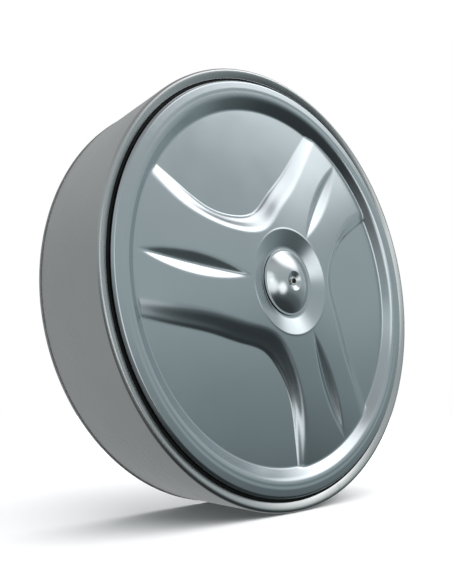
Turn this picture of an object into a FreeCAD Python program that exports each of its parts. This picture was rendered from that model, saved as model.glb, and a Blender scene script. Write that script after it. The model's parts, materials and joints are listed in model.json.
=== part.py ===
"""Hard stainless steel spare tire cover: a pressed face plate in a hinged, latched band.

The wheel axis is Y. The face looks towards -Y, the tyre goes in from +Y, and +Z is up.
While a piece is drawn, y is its depth behind the crest of the face plate's rim.
Angles are measured about the wheel axis, anticlockwise from +X as seen from the front.
On export everything moves so that the origin is at the middle of the tyre seat.
"""
import FreeCAD, Part
import os
from math import asin, atan2, cos, degrees, hypot, radians, sin, sqrt, tan

from FreeCAD import Vector

# Face plate
FACE_RADIUS = 352.0          # outer side of the turned-back edge
FACE_SHEET = 1.4             # thickness along the wheel axis
FLANGE_SHEET = 1.0           # thickness of the turned-back edge
FLANGE_RADIUS = 366.0        # rim of the outward flange behind the edge
FLANGE_DEPTH = 21.0
LAND_RADII = (331.0, 344.0)   # the flat crest of the rim
ROLL_RADIUS = 350.5          # where the rim meets the turned-back edge
ROLL_DEPTH = 4.5
WALL_TOP = (323.0, 2.5)      # radius and depth of the wall round the pattern
SPOKE_END = (311.5, 14.6)    # where the spokes' shallow cone meets that wall
WINDOW_DEPTH = 18.0
HUB_RADIUS = 92.0
DISH_RADIUS = 60.0
DISH_DEPTH = 11.0
BLANK_BACK = 45.0            # back of the block that the relief is cut in
ABOVE = 2.0                  # how far cutters reach in front of the crest
WINDOW_ANGLES = (0.0, 120.0, 240.0)
SPOKE_ANGLES = (60.0, 180.0, 300.0)
FOOT_ARC_RADIUS = 307.5
TOP_ARC_RADIUS = 324.5

# Window outline, (sideways, outwards) from the wheel axis in the window's own frame. The foot
# is the edge of the flat floor, and the shoulder is where the flank meets the spoke.
WINDOW_FOOT = (
    (172.3, 254.8), (141.0, 211.0), (106.0, 169.0), (60.0, 142.0), (15.0, 133.0),
    (-35.0, 150.0), (-88.0, 169.0), (-155.0, 204.0), (-209.7, 224.9),
)
WINDOW_SHOULDER = (
    (182.9, 247.3), (155.1, 200.1), (117.0, 156.5), (69.0, 119.5), (13.0, 104.0),
    (-44.0, 124.0), (-99.5, 143.5), (-166.3, 179.4), (-224.5, 210.1),
)

# Groove along each spoke, (outwards, sideways) in the spoke's own frame
GROOVE_INNER = (102.8, 6.5)
GROOVE_OUTER = (300.0, -1.0)
GROOVE_DEPTH = 6.5
GROOVE_FLARE = 2.4           # half width over depth
GROOVE_REACH = 44.0

# Hub: cap, screw and stiffener
CAP_RADIUS = 58.5
CAP_SHEET = 1.2
CAP_SHOULDER = 54.0
CAP_RISE = 7.5               # height of the full dome in front of the rim crest
DIMPLE_RADIUS = 17.0
DIMPLE_DEPTH = 4.0
GASKET_THICKNESS = 1.0
GASKET_INNER = 45.0
SCREW_RADIUS = 3.0
SCREW_HOLE_RADIUS = 3.3
SCREW_HEAD_RADIUS = 4.6
SCREW_HEAD_HEIGHT = 2.4
SCREW_END = 27.0
WASHER_THICKNESS = 0.8
SPACER_RADIUS = 7.0
BACKING_RADIUS = 58.0
BACKING_THICKNESS = 2.0
NUT_FLATS = 10.0
NUT_HEIGHT = 5.5

# Foam pads behind the windows
PAD_LENGTH = 56.0
PAD_WIDTH = 28.0
PAD_HEIGHT = 14.0
PAD_RADIUS = 238.0
PAD_TURNS = (-14.0, 13.0)

# Band
BAND_RADIUS = 373.0
BAND_SHEET = 1.0
BAND_DEPTH = 168.0
LIP_RADIUS = 357.0
LIP_DEPTH = 6.3
LIP_END = 18.0
CORNER_DEPTH = -3.6
HEM_RADIUS = 370.6
HEM_START = 160.0
HINGE_ANGLE = 90.0
LATCH_SEAM_ANGLE = 288.0
SEAM_GAP = 0.6

# Rubber
SEAL_CLEARANCE = 0.3
SEAL_FRONT = 6.8
TRIM_THICKNESS = 1.0
SEAT_RADIUS = 367.5
SEAT_DEPTH = 140.0
SEAT_WIDTH = 30.0

# Clips that hold the face plate
CLIP_ANGLES_LEFT = (112.0, 150.0, 190.0, 230.0, 268.0)
CLIP_ANGLES_RIGHT = (310.0, 345.0, 20.0, 56.0)
CLIP_WIDTH = 24.0
CLIP_SHEET = 1.0
CLIP_BEND = 2.0
CLIP_FOOT_RADIUS = 359.0
CLIP_FOOT_DEPTH = 22.3
CLIP_BACK = 50.0

# Hinge
PIN_HEIGHT = 5.2             # pin's centre outside the band
PIN_RADIUS = 2.0
PIN_CLEARANCE = 0.05
KNUCKLE_RADIUS = 4.4
KNUCKLE_CLEARANCE = 0.5
KNUCKLE_GAP = 0.4
KNUCKLES = 5
LEAF_SHEET = 1.2
LEAF_WIDTH = 26.0
HINGE_START = 22.0
HINGE_END = 118.0
HINGE_RIVETS = (32.0, 70.0, 108.0)
HINGE_RIVET_OFFSET = 16.0

# Rivets
RIVET_RADIUS = 1.6
RIVET_HEAD_RADIUS = 3.2
RIVET_HEAD_HEIGHT = 1.2
RIVET_TAIL_RADIUS = 2.5
RIVET_TAIL_HEIGHT = 0.9

# Latch, drawn on top of the band with x along it, then turned to its place.
# Its x = 0 is at LATCH_ANGLE, and the seam between the halves is at +x.
LATCH_ANGLE = 293.0
LATCH_DEPTH = 75.0
BASE_SHEET = 1.5
BASE_FROM = -31.0
BASE_TO = 29.0
BASE_HALF_WIDTH = 22.0
EAR_INNER = 15.0
LEVER_PIVOT = (12.0, 5.5)    # x and height over the band
BAIL_PIVOT = (0.0, 5.1)
LEVER_HALF_WIDTH = 13.5
LEVER_SHEET = 1.5
LEVER_TOP = 10.0
LEVER_BOTTOM = 2.3
LEVER_NOSE_RADIUS = 3.6
LEVER_TAIL = -36.0
BAIL_RADIUS = 1.5
BAIL_HALF_WIDTH = 19.5
BAIL_REACH = 50.0
BAIL_CORNER = 4.0
BASE_RIVETS = ((21.4, 13.8), (21.4, -13.8), (-25.0, 17.4), (-25.0, -17.4))
KEEPER_FROM = 37.0
KEEPER_TO = 67.0
KEEPER_HALF_WIDTH = 16.0
KEEPER_TAB = (46.2, 48.0)
KEEPER_TAB_TOP = 3.0
KEEPER_TAB_HALF_WIDTH = 12.0
KEEPER_RIVETS = ((59.0, 9.0), (59.0, -9.0))

# Tongue behind the latch seam
STRAP_DEPTHS = (36.0, 114.0)
STRAP_OVERLAP = 7.5
STRAP_FIXED = 44.0
STRAP_CLEARANCE = 0.4

# Lock in the latch lever
LOCK_X = -18.0
LOCK_BODY_RADIUS = 5.5
LOCK_FLANGE_RADIUS = 7.5
LOCK_FLANGE_HEIGHT = 1.5
LOCK_BOTTOM = 3.4
BARREL_RADIUS = 4.0
CAM_BOTTOM = 1.9
CAM_TOP = 3.1
CAM_LENGTH = 10.2
CAM_WIDTH = 6.0
CLIP_RING_RADIUS = 8.0
STRIKE_INNER = 7.2
STRIKE_OUTER = 11.7
STRIKE_BOTTOM = 3.5
STRIKE_SHEET = 1.1
STRIKE_HALF_LENGTH = 4.0
KEYWAY = (1.3, 5.2, 2.2)     # width, length and depth of the key slot

ORIGIN = Vector(0, 0, 0)
FRONT_AXIS = Vector(0, -1, 0)   # turning about it is anticlockwise seen from the front
SEAM_HALF_ANGLE = degrees(SEAM_GAP / 2 / BAND_RADIUS)
LEFT_SPAN = (HINGE_ANGLE + SEAM_HALF_ANGLE, LATCH_SEAM_ANGLE - SEAM_HALF_ANGLE)
RIGHT_SPAN = (LATCH_SEAM_ANGLE + SEAM_HALF_ANGLE - 360.0, HINGE_ANGLE - SEAM_HALF_ANGLE)


# ---------------------------------------------------------------- helpers

def export(name, shape):
    """Moves the shape so that the origin is in the middle of the tyre seat, and writes it."""
    moved = shape.copy()
    moved.translate(Vector(0, -SEAT_DEPTH, 0))
    moved.exportStep(os.path.join("parts", name + ".step"))


def solid_of(shape):
    """The single solid of a boolean result, merged over its seams."""
    tidy = shape.removeSplitter()
    return tidy.Solids[0] if len(tidy.Solids) == 1 else tidy


def fuse_all(shapes):
    return solid_of(shapes[0].multiFuse(shapes[1:]))


def on_axis(radius, depth):
    """A point of a section that is turned about the wheel axis."""
    return Vector(radius, depth, 0)


def spin(face, first=0.0, last=360.0):
    """The solid that a section makes when it turns about the wheel axis between two angles."""
    solid = face.revolve(ORIGIN, FRONT_AXIS, last - first)
    solid.rotate(ORIGIN, FRONT_AXIS, first)
    return solid


def polygon_face(points):
    return Part.Face(Part.makePolygon(list(points) + [points[0]]))


def ring(inner, outer, front, back, first=0.0, last=360.0):
    """A flat-sided ring, or an arc of one."""
    corners = [on_axis(inner, front), on_axis(outer, front), on_axis(outer, back), on_axis(inner, back)]
    return spin(polygon_face(corners), first, last)


def turned(shape, angle):
    """A copy turned about the wheel axis."""
    copy = shape.copy()
    copy.rotate(ORIGIN, FRONT_AXIS, angle)
    return copy


def block(low, high):
    """A box between two corners."""
    size = [b - a for a, b in zip(low, high)]
    return Part.makeBox(size[0], size[1], size[2], Vector(*low))


def axial_rod(radius, front, back, x=0.0, z=0.0):
    """A cylinder along the wheel axis' direction."""
    return Part.makeCylinder(radius, back - front, Vector(x, front, z), Vector(0, 1, 0))


def rounded_edges(points, radii):
    """Edges of an open path of straight runs with a round bend at each inner point."""
    edges = []
    start = points[0]
    for before, corner, after, radius in zip(points, points[1:], points[2:], radii):
        back = (before - corner).normalize()
        ahead = (after - corner).normalize()
        half = back.getAngle(ahead) / 2
        reach = radius / tan(half)
        inward = (back + ahead).normalize()
        bend_start = corner + back * reach
        bend_end = corner + ahead * reach
        middle = corner + inward * (radius / sin(half) - radius)
        edges.append(Part.makeLine(start, bend_start))
        edges.append(Part.Arc(bend_start, middle, bend_end).toShape())
        start = bend_end
    edges.append(Part.makeLine(start, points[-1]))
    return edges


def offset_path(points, distance):
    """The path moved to its left by distance, with mitred corners."""
    normals = []
    for a, b in zip(points, points[1:]):
        along = (b - a).normalize()
        normals.append(Vector(-along.y, along.x, 0))
    moved = [points[0] + normals[0] * distance]
    for point, first, second in zip(points[1:], normals, normals[1:]):
        moved.append(point + (first + second) * (distance / (1 + first.dot(second))))
    moved.append(points[-1] + normals[-1] * distance)
    return moved


def bent_sheet_face(points, radii, thickness):
    """The section of a sheet whose path turns left at every bend, with its material on the left."""
    outer = rounded_edges(points, radii)
    inner_points = offset_path(points, thickness)
    inner = rounded_edges(inner_points, [radius - thickness for radius in radii])
    ends = [Part.makeLine(points[0], inner_points[0]), Part.makeLine(points[-1], inner_points[-1])]
    return Part.Face(Part.Wire(Part.__sortEdges__(outer + inner + ends)))


def arc_angle(length):
    """The angle that a length along the band's surface takes."""
    return degrees(length / BAND_RADIUS)


def rivet(outer, inner):
    """A rivet at the top of the band, through plates between two radii, with its head outside."""
    shank = Part.makeCylinder(RIVET_RADIUS, outer - inner, Vector(0, 0, inner))
    ball_radius = (RIVET_HEAD_RADIUS ** 2 + RIVET_HEAD_HEIGHT ** 2) / (2 * RIVET_HEAD_HEIGHT)
    ball = Part.makeSphere(ball_radius, Vector(0, 0, outer + RIVET_HEAD_HEIGHT - ball_radius))
    head_zone = Part.makeCylinder(RIVET_HEAD_RADIUS, RIVET_HEAD_HEIGHT, Vector(0, 0, outer))
    tail = Part.makeCylinder(RIVET_TAIL_RADIUS, RIVET_TAIL_HEIGHT, Vector(0, 0, inner - RIVET_TAIL_HEIGHT))
    return fuse_all([shank, ball.common(head_zone), tail])


def rivet_hole():
    """The hole that a rivet at the top of the band fills."""
    return Part.makeCylinder(RIVET_RADIUS, 20.0, Vector(0, 0, BAND_RADIUS - 10.0))


def placed(shape, angle, depth):
    """A copy of a shape at the top of the band, moved to an angle and a depth."""
    copy = shape.copy()
    copy.translate(Vector(0, depth, 0))
    return turned(copy, angle - HINGE_ANGLE)


# ---------------------------------------------------------------- face plate

def spoke_depth(radius):
    """Depth of the spokes' shallow cone at a radius."""
    end_radius, end_depth = SPOKE_END
    return end_depth * (radius - HUB_RADIUS) / (end_radius - HUB_RADIUS)


def crest_bend(radius, depth, land_radius):
    """The arc from a point beside the rim's crest up to the crest, which it meets flat."""
    across = land_radius - radius
    bend_radius = (across ** 2 + depth ** 2) / (2 * depth)
    half = asin(across / bend_radius) / 2
    middle = on_axis(land_radius - bend_radius * sin(half), bend_radius * (1 - cos(half)))
    return Part.Arc(on_axis(radius, depth), middle, on_axis(land_radius, 0)).toShape()


def face_blank():
    """A block with the hub dish, the spokes' cone, the wall and the flat-crested rim on its front."""
    land_start, land_end = LAND_RADII
    points = [
        on_axis(ROLL_RADIUS, ROLL_DEPTH), on_axis(ROLL_RADIUS, BLANK_BACK), on_axis(0, BLANK_BACK),
        on_axis(0, DISH_DEPTH), on_axis(DISH_RADIUS, DISH_DEPTH), on_axis(HUB_RADIUS, 0),
        on_axis(*SPOKE_END), on_axis(*WALL_TOP),
    ]
    edges = [Part.makeLine(a, b) for a, b in zip(points, points[1:])]
    edges += [
        crest_bend(*WALL_TOP, land_start),
        Part.makeLine(on_axis(land_start, 0), on_axis(land_end, 0)),
        crest_bend(ROLL_RADIUS, ROLL_DEPTH, land_end),
    ]
    return spin(Part.Face(Part.Wire(edges)))


def window_wire(outline, arc_radius, depth):
    """A window's outline at one depth: a curve round the hub side, and an arc along the wall."""
    inner_points = [Vector(side, depth, out) for side, out in outline]
    curve = Part.BSplineCurve()
    curve.interpolate(inner_points)
    first = inner_points[0]
    last = inner_points[-1]
    middle_angle = (atan2(first.x, first.z) + atan2(last.x, last.z)) / 2
    middle = Vector(arc_radius * sin(middle_angle), depth, arc_radius * cos(middle_angle))
    arc = Part.Arc(last, middle, first)
    return Part.Wire([curve.toShape(), arc.toShape()])


def window_pocket():
    """The cutter for one window, which widens from the floor's edge through the shoulder.

    It is drawn with the window at the top, its sideways direction towards -X.
    """
    foot = [(-side, out) for side, out in WINDOW_FOOT]
    rise_to_top = WINDOW_DEPTH + ABOVE
    top = []
    for (foot_side, foot_out), (side, out) in zip(WINDOW_FOOT, WINDOW_SHOULDER):
        stretch = rise_to_top / (WINDOW_DEPTH - spoke_depth(hypot(side, out)))
        top_side = foot_side + (side - foot_side) * stretch
        top_out = foot_out + (out - foot_out) * stretch
        top.append((-top_side, top_out))
    for index in (0, -1):
        side, out = top[index]
        scale = TOP_ARC_RADIUS / hypot(side, out)
        top[index] = (side * scale, out * scale)
    wires = [window_wire(foot, FOOT_ARC_RADIUS, WINDOW_DEPTH), window_wire(top, TOP_ARC_RADIUS, -ABOVE)]
    return Part.makeLoft(wires, True, True)


def groove_cutter():
    """The edge of a large V-rimmed disc, which leaves a leaf-shaped valley along one spoke.

    It is drawn for a spoke along +X.
    """
    inner = Vector(GROOVE_INNER[0], spoke_depth(hypot(*GROOVE_INNER)), GROOVE_INNER[1])
    outer = Vector(GROOVE_OUTER[0], spoke_depth(hypot(*GROOVE_OUTER)), GROOVE_OUTER[1])
    chord = outer - inner
    length = chord.Length
    disc_radius = length ** 2 / (8 * GROOVE_DEPTH) + GROOVE_DEPTH / 2
    along = Vector(chord).normalize()
    sideways = along.cross(Vector(0, 1, 0)).normalize()
    forwards = along.cross(sideways).normalize()
    if forwards.y > 0:
        forwards = forwards * -1
    centre = (inner + outer) * 0.5 + forwards * (disc_radius - GROOVE_DEPTH)
    edge_radius = disc_radius - GROOVE_REACH / GROOVE_FLARE
    halves = [
        Part.makeCone(disc_radius, edge_radius, GROOVE_REACH, centre, direction)
        for direction in (sideways, sideways * -1)
    ]
    disc = halves[0].fuse(halves[1])
    zone = Part.makeBox(length, 2 * GROOVE_REACH, 4 * GROOVE_DEPTH)
    zone.translate(Vector(0, -GROOVE_REACH, -2 * GROOVE_DEPTH))
    zone.Placement = FreeCAD.Placement(inner, FreeCAD.Rotation(along, sideways, forwards, "XYZ")).multiply(
        zone.Placement
    )
    return disc.common(zone)


def edge_flange():
    """The face plate's turned-back edge and the outward flange behind it."""
    back = FLANGE_DEPTH + FLANGE_SHEET
    inner = FACE_RADIUS - FLANGE_SHEET
    corners = [
        on_axis(inner - 2.6, ROLL_DEPTH - 0.1), on_axis(FACE_RADIUS, ROLL_DEPTH + 2.4),
        on_axis(FACE_RADIUS, FLANGE_DEPTH), on_axis(FLANGE_RADIUS, FLANGE_DEPTH),
        on_axis(FLANGE_RADIUS, back), on_axis(inner, back),
        on_axis(inner, ROLL_DEPTH + 2.8), on_axis(inner - 2.6, ROLL_DEPTH + 0.7),
    ]
    return spin(polygon_face(corners))


def face_plate():
    front = face_blank()
    pocket = window_pocket()
    groove = groove_cutter()
    cutters = [turned(pocket, angle - 90.0) for angle in WINDOW_ANGLES]
    cutters += [turned(groove, angle) for angle in SPOKE_ANGLES]
    for cutter in cutters:
        front = front.cut(cutter)
    back = front.copy()
    back.translate(Vector(0, FACE_SHEET, 0))
    sheet = front.cut(back).fuse(edge_flange())
    hole = axial_rod(SCREW_HOLE_RADIUS, 0, BLANK_BACK)
    return solid_of(sheet.cut(hole))


def face_seal():
    """L-shaped rubber between the face plate's edge and the band's lip."""
    inner = FACE_RADIUS + 0.05
    outer = LIP_RADIUS - SEAL_CLEARANCE
    foot_front = LIP_END + SEAL_CLEARANCE + 0.1
    corners = [
        on_axis(inner, SEAL_FRONT), on_axis(outer, SEAL_FRONT), on_axis(outer, foot_front),
        on_axis(FLANGE_RADIUS, foot_front), on_axis(FLANGE_RADIUS, FLANGE_DEPTH),
        on_axis(inner, FLANGE_DEPTH),
    ]
    return spin(polygon_face(corners))


def sidewall_pads():
    """Two foam pads on the back of each window."""
    front = WINDOW_DEPTH + FACE_SHEET
    pad = block(
        (PAD_RADIUS - PAD_WIDTH / 2, front, -PAD_LENGTH / 2),
        (PAD_RADIUS + PAD_WIDTH / 2, front + PAD_HEIGHT, PAD_LENGTH / 2),
    )
    pad = pad.makeFillet(5.0, [edge for edge in pad.Edges if abs(edge.tangentAt(0).y) > 0.9])
    pads = [turned(pad, window + turn) for window in WINDOW_ANGLES for turn in PAD_TURNS]
    return Part.makeCompound(pads)


# ---------------------------------------------------------------- hub

def cap_gasket():
    return ring(GASKET_INNER, CAP_RADIUS - 0.6, DISH_DEPTH - GASKET_THICKNESS, DISH_DEPTH)


def dome_arc(offset):
    """Ends and middle of the dome's arc, offset inwards from its outer surface, with its centre."""
    base_depth = DISH_DEPTH - GASKET_THICKNESS - CAP_SHEET
    rise = base_depth + CAP_RISE
    radius = (CAP_SHOULDER ** 2 + rise ** 2) / (2 * rise)
    centre_depth = radius - CAP_RISE
    return radius - offset, centre_depth


def dome_point(offset, radius):
    ball_radius, centre_depth = dome_arc(offset)
    return on_axis(radius, centre_depth - sqrt(ball_radius ** 2 - radius ** 2))


def centre_cap():
    """Domed cap with a flat flange and a dimple round its screw."""
    back = DISH_DEPTH - GASKET_THICKNESS
    front = back - CAP_SHEET
    rim = dome_point(0.0, DIMPLE_RADIUS)
    rim_inside = dome_point(CAP_SHEET, DIMPLE_RADIUS - 0.5)
    floor = rim.y + DIMPLE_DEPTH
    edges = [
        Part.makeLine(on_axis(SCREW_HOLE_RADIUS, floor), on_axis(SCREW_HEAD_RADIUS + 1, floor)),
        Part.Arc(
            on_axis(SCREW_HEAD_RADIUS + 1, floor), on_axis(DIMPLE_RADIUS - 5, floor - 1.1), rim
        ).toShape(),
        Part.Arc(rim, dome_point(0.0, 36.0), on_axis(CAP_SHOULDER, front)).toShape(),
        Part.makeLine(on_axis(CAP_SHOULDER, front), on_axis(CAP_RADIUS, front)),
        Part.makeLine(on_axis(CAP_RADIUS, front), on_axis(CAP_RADIUS, back)),
        Part.makeLine(on_axis(CAP_RADIUS, back), on_axis(CAP_SHOULDER - 2, back)),
        Part.Arc(on_axis(CAP_SHOULDER - 2, back), dome_point(CAP_SHEET, 36.0), rim_inside).toShape(),
        Part.Arc(
            rim_inside,
            on_axis(DIMPLE_RADIUS - 6, floor - 1.1 + CAP_SHEET),
            on_axis(SCREW_HEAD_RADIUS, floor + CAP_SHEET),
        ).toShape(),
        Part.makeLine(
            on_axis(SCREW_HEAD_RADIUS, floor + CAP_SHEET), on_axis(SCREW_HOLE_RADIUS, floor + CAP_SHEET)
        ),
        Part.makeLine(on_axis(SCREW_HOLE_RADIUS, floor + CAP_SHEET), on_axis(SCREW_HOLE_RADIUS, floor)),
    ]
    return spin(Part.Face(Part.Wire(Part.__sortEdges__(edges))))


def dimple_floor():
    return dome_point(0.0, DIMPLE_RADIUS).y + DIMPLE_DEPTH


def screw_washer():
    floor = dimple_floor()
    return ring(SCREW_RADIUS, SCREW_HEAD_RADIUS + 0.8, floor - WASHER_THICKNESS, floor)


def cap_screw():
    """Round-headed screw with a cross recess, pointing back through the hub."""
    seat = dimple_floor() - WASHER_THICKNESS
    head = axial_rod(SCREW_HEAD_RADIUS, seat - SCREW_HEAD_HEIGHT, seat)
    rim_edges = [edge for edge in head.Edges if abs(edge.CenterOfMass.y - seat + SCREW_HEAD_HEIGHT) < 0.01]
    head = head.makeFillet(1.2, rim_edges)
    shank = axial_rod(SCREW_RADIUS, seat, SCREW_END)
    slot_front = seat - SCREW_HEAD_HEIGHT
    slot = block((-2.6, slot_front, -0.5), (2.6, slot_front + 1.2, 0.5))
    cross = slot.fuse(turned(slot, 90.0))
    return solid_of(head.fuse(shank).cut(cross))


def cap_spacer():
    return ring(SCREW_HOLE_RADIUS, SPACER_RADIUS, dimple_floor() + CAP_SHEET, DISH_DEPTH)


def hub_backing():
    """Stiffening disc behind the hub, with a shallow turned edge."""
    front = DISH_DEPTH + FACE_SHEET
    disc = ring(SCREW_HOLE_RADIUS, BACKING_RADIUS, front, front + BACKING_THICKNESS)
    edge = ring(BACKING_RADIUS - 2, BACKING_RADIUS, front, front + 6.0)
    return solid_of(disc.fuse(edge))


def hub_nut():
    front = DISH_DEPTH + FACE_SHEET + BACKING_THICKNESS
    corner = NUT_FLATS / 2 / cos(radians(30))
    corners = [
        Vector(corner * cos(radians(60 * i)), front, corner * sin(radians(60 * i))) for i in range(6)
    ]
    blank = polygon_face(corners).extrude(Vector(0, NUT_HEIGHT, 0))
    return blank.cut(axial_rod(SCREW_RADIUS, front, front + NUT_HEIGHT))


# ---------------------------------------------------------------- band

def band_section():
    """Section of the band from its turned-in lip to its rear hem."""
    path = [
        on_axis(LIP_RADIUS, LIP_END), on_axis(LIP_RADIUS, LIP_DEPTH), on_axis(BAND_RADIUS, CORNER_DEPTH),
        on_axis(BAND_RADIUS, BAND_DEPTH), on_axis(HEM_RADIUS, BAND_DEPTH), on_axis(HEM_RADIUS, HEM_START),
    ]
    return bent_sheet_face(path, [2.5, 5.0, 1.1, 1.1], BAND_SHEET)


def band_part(span, hole_places):
    """One part of the band between two angles, with its rivet holes."""
    band = spin(band_section(), *span)
    holes = [placed(rivet_hole(), angle, depth) for angle, depth in hole_places]
    return solid_of(band.cut(Part.makeCompound(holes)))


def edge_trim(span):
    """Rubber channel pushed over the band's rear hem."""
    outer = BAND_RADIUS + TRIM_THICKNESS
    inner = HEM_RADIUS - TRIM_THICKNESS
    back = BAND_DEPTH + 2 * TRIM_THICKNESS
    corners = [
        on_axis(outer, BAND_DEPTH - 3), on_axis(outer, back - 0.6), on_axis(outer - 0.6, back),
        on_axis(inner + 0.6, back), on_axis(inner, back - 0.6), on_axis(inner, HEM_START + 1),
        on_axis(HEM_RADIUS, HEM_START + 1), on_axis(HEM_RADIUS, BAND_DEPTH),
        on_axis(BAND_RADIUS, BAND_DEPTH), on_axis(BAND_RADIUS, BAND_DEPTH - 3),
    ]
    return spin(polygon_face(corners), *span)


def tread_strip(span):
    """Rubber strip on the inside of the band that grips the tyre's tread."""
    front = SEAT_DEPTH - SEAT_WIDTH / 2
    return ring(SEAT_RADIUS, BAND_RADIUS - BAND_SHEET, front, front + SEAT_WIDTH, *span)


def face_clips(angles):
    """L-shaped clips welded inside the band, with their feet behind the face plate's flange."""
    wall = BAND_RADIUS - BAND_SHEET
    path = [
        on_axis(CLIP_FOOT_RADIUS, CLIP_FOOT_DEPTH), on_axis(wall, CLIP_FOOT_DEPTH), on_axis(wall, CLIP_BACK)
    ]
    section = bent_sheet_face(path, [CLIP_BEND], CLIP_SHEET)
    half = arc_angle(CLIP_WIDTH) / 2
    return Part.makeCompound([spin(section, angle - half, angle + half) for angle in angles])


# ---------------------------------------------------------------- hinge

def knuckle_spans(first):
    """Depth ranges of every second knuckle."""
    pitch = (HINGE_END - HINGE_START) / KNUCKLES
    return [
        (HINGE_START + pitch * i + KNUCKLE_GAP / 2, HINGE_START + pitch * (i + 1) - KNUCKLE_GAP / 2)
        for i in range(first, KNUCKLES, 2)
    ]


def hinge_leaf(side, own, other, bore_radius):
    """A leaf on the band at the top. side is -1 for the left leaf and 1 for the right one."""
    pin_z = BAND_RADIUS + PIN_HEIGHT
    inner_angle = HINGE_ANGLE - side * arc_angle(SEAM_GAP / 2)
    outer_angle = HINGE_ANGLE - side * arc_angle(LEAF_WIDTH)
    angles = sorted((inner_angle, outer_angle))
    plate = ring(BAND_RADIUS, BAND_RADIUS + LEAF_SHEET, HINGE_START, HINGE_END, *angles)
    for front, back in other:
        clearance = KNUCKLE_RADIUS + KNUCKLE_CLEARANCE
        plate = plate.cut(axial_rod(clearance, front - KNUCKLE_GAP, back + KNUCKLE_GAP, z=pin_z))
    pieces = [plate]
    for front, back in own:
        pieces.append(axial_rod(KNUCKLE_RADIUS, front, back, z=pin_z))
        x_range = sorted((side * SEAM_GAP / 2, side * KNUCKLE_RADIUS))
        pieces.append(block((x_range[0], front, BAND_RADIUS + 0.3), (x_range[1], back, pin_z)))
    leaf = fuse_all(pieces)
    bore = axial_rod(bore_radius, HINGE_START - 1, HINGE_END + 1, z=pin_z)
    holes = [placed(rivet_hole(), angle, depth) for angle, depth in hinge_rivet_places(side)]
    return solid_of(leaf.cut(Part.makeCompound([bore] + holes)))


def hinge_rivet_places(side):
    angle = HINGE_ANGLE - side * arc_angle(HINGE_RIVET_OFFSET)
    return [(angle, depth) for depth in HINGE_RIVETS]


def hinge_rivets(side):
    one = rivet(BAND_RADIUS + LEAF_SHEET, BAND_RADIUS - BAND_SHEET)
    return Part.makeCompound([placed(one, angle, depth) for angle, depth in hinge_rivet_places(side)])


def hinge_pin():
    pin_z = BAND_RADIUS + PIN_HEIGHT
    rod = axial_rod(PIN_RADIUS, HINGE_START - 0.5, HINGE_END + 0.5, z=pin_z)
    front_head = axial_rod(PIN_RADIUS + 1.2, HINGE_START - 1.5, HINGE_START - 0.2, z=pin_z)
    back_head = axial_rod(PIN_RADIUS + 1.2, HINGE_END + 0.2, HINGE_END + 1.5, z=pin_z)
    return fuse_all([rod, front_head, back_head])


# ---------------------------------------------------------------- latch

def at_latch(shape):
    """Moves a piece drawn at the top of the band to the latch's place."""
    return placed(shape, LATCH_ANGLE, LATCH_DEPTH)


def latch_point(x, height):
    return x, BAND_RADIUS + height


def latch_plate(x_from, x_to, half_width, inner, outer):
    """A curved plate that follows the band, between two x positions in the latch's frame."""
    first = HINGE_ANGLE - arc_angle(x_to)
    last = HINGE_ANGLE - arc_angle(x_from)
    return ring(inner, outer, -half_width, half_width, first, last)


def latch_holes(places):
    """Rivet holes in the latch's frame."""
    return [placed(rivet_hole(), HINGE_ANGLE - arc_angle(x), y) for x, y in places]


def latch_rivet_places(places):
    """Angle and depth of rivets that are given in the latch's frame."""
    return [(LATCH_ANGLE - arc_angle(x), LATCH_DEPTH + y) for x, y in places]


def latch_rivets(places, outer, inner):
    one = rivet(outer, inner)
    return Part.makeCompound([placed(one, angle, depth) for angle, depth in latch_rivet_places(places)])


def latch_base():
    """Curved base plate with two ears for the lever's pin and a hooked strike for the lock's cam."""
    pivot_x, pivot_z = latch_point(*LEVER_PIVOT)
    outer = BAND_RADIUS + BASE_SHEET
    pieces = [latch_plate(BASE_FROM, BASE_TO, BASE_HALF_WIDTH, BAND_RADIUS, outer)]
    for low in (EAR_INNER, -EAR_INNER - BASE_SHEET):
        pieces.append(block((pivot_x - 6, low, outer - 1.0), (pivot_x + 6, low + BASE_SHEET, pivot_z)))
        pieces.append(axial_rod(6.0, low, low + BASE_SHEET, pivot_x, pivot_z))
    lip_z = BAND_RADIUS + STRIKE_BOTTOM
    x_from = LOCK_X - STRIKE_HALF_LENGTH
    x_to = LOCK_X + STRIKE_HALF_LENGTH
    lip_top = lip_z + STRIKE_SHEET
    pieces.append(block((x_from, -STRIKE_OUTER, lip_z), (x_to, -STRIKE_INNER, lip_top)))
    strike_end = (x_to, -STRIKE_OUTER + STRIKE_SHEET, lip_top)
    pieces.append(block((x_from, -STRIKE_OUTER, outer - 1.3), strike_end))
    base = fuse_all(pieces)
    under = axial_rod(BAND_RADIUS, -BASE_HALF_WIDTH - 5, BASE_HALF_WIDTH + 5)
    bore = axial_rod(PIN_RADIUS, -BASE_HALF_WIDTH, BASE_HALF_WIDTH, pivot_x, pivot_z)
    return at_latch(solid_of(base.cut(Part.makeCompound([under, bore] + latch_holes(BASE_RIVETS)))))


def lever_pin():
    pivot_x, pivot_z = latch_point(*LEVER_PIVOT)
    ear_outer = EAR_INNER + BASE_SHEET
    rod = axial_rod(PIN_RADIUS, -ear_outer, ear_outer, pivot_x, pivot_z)
    heads = [
        axial_rod(PIN_RADIUS + 0.9, -ear_outer - 0.7, -ear_outer, pivot_x, pivot_z),
        axial_rod(PIN_RADIUS + 0.9, ear_outer, ear_outer + 0.7, pivot_x, pivot_z),
    ]
    return at_latch(fuse_all([rod] + heads))


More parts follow.
